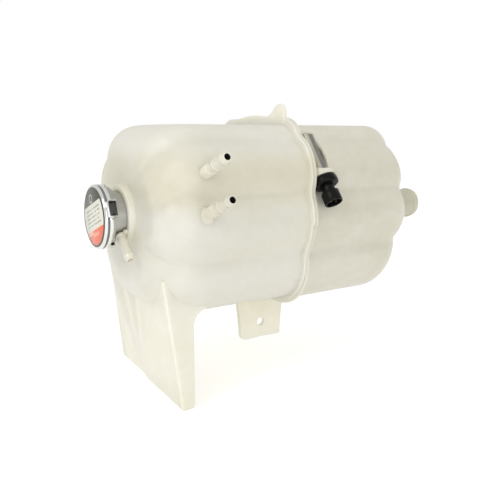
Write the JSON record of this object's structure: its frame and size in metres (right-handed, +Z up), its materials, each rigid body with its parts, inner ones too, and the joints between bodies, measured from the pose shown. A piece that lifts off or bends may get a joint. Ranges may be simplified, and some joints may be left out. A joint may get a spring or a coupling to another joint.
{
  "type": "coolant expansion tank",
  "caption": "Welded moulded tank with a capped filler neck at one end, an outlet spigot at the other, vent nipples, a level sensor, a bracket leg and a lower bolt lug.",
  "frame": {"origin": "centre of the bolt hole in the lower lug", "axes": "+X along the tank from the filler cap to the outlet, +Y away from the side with the nipples and sensor, +Z up"},
  "size_m": [0.398, 0.226, 0.272],
  "materials": {
    "tank_plastic": "satin moulded polypropylene",
    "neck_steel": "plain pressed steel",
    "cap_chrome": "bright plated",
    "label_print": "printed fields",
    "rubber": "matte",
    "valve_steel": "plain",
    "valve_brass": "plain",
    "black_plastic": "satin",
    "sensor_metal": "glossy",
    "potting": "cast resin"
  },
  "bodies": {
    "tank": {"tank_cap_half": "tank_plastic", "tank_outlet_half": "tank_plastic", "filler_neck": "neck_steel", "neck_oring": "rubber", "level_sensor_body": "black_plastic", "sensor_tube": "sensor_metal", "sensor_core": "potting", "sensor_gasket": "rubber", "sensor_pins": "valve_brass"},
    "valve_stack": {"cap_rivet": "valve_steel", "cap_spring_disc": "valve_steel", "cap_top_gasket": "rubber", "cap_bell": "valve_brass", "pressure_spring": "valve_steel", "vacuum_spring": "valve_steel"},
    "cap": {"cap_shell": "cap_chrome", "cap_label": "label_print"},
    "pressure_valve": {"pressure_plate": "valve_steel", "pressure_seal": "rubber"},
    "vacuum_valve": {"vacuum_valve": "valve_brass"}
  },
  "joints": [
    {"name": "cap_rise", "type": "slide", "parent": "tank", "child": "valve_stack", "axis": [-1, 0, 0], "range_m": [0, 0.0025]},
    {"name": "cap_turn", "type": "hinge", "parent": "valve_stack", "child": "cap", "pos_m": [-0.171, 0, 0.125], "axis": [-1, 0, 0], "range_deg": [0, 90]},
    {"name": "pressure_lift", "type": "slide", "parent": "valve_stack", "child": "pressure_valve", "axis": [-1, 0, 0], "range_m": [0, 0.003], "stiffness_N_per_m": 500, "springref_m": -0.01, "deforming": ["pressure_spring"]},
    {"name": "vacuum_open", "type": "slide", "parent": "valve_stack", "child": "vacuum_valve", "axis": [1, 0, 0], "range_m": [0, 0.0015], "stiffness_N_per_m": 50, "springref_m": -0.003, "deforming": ["vacuum_spring"]}
  ],
  "couplings": [
    {"joint": "cap_rise", "follows": "cap_turn", "m_per_rad": 0.0015915}
  ]
}
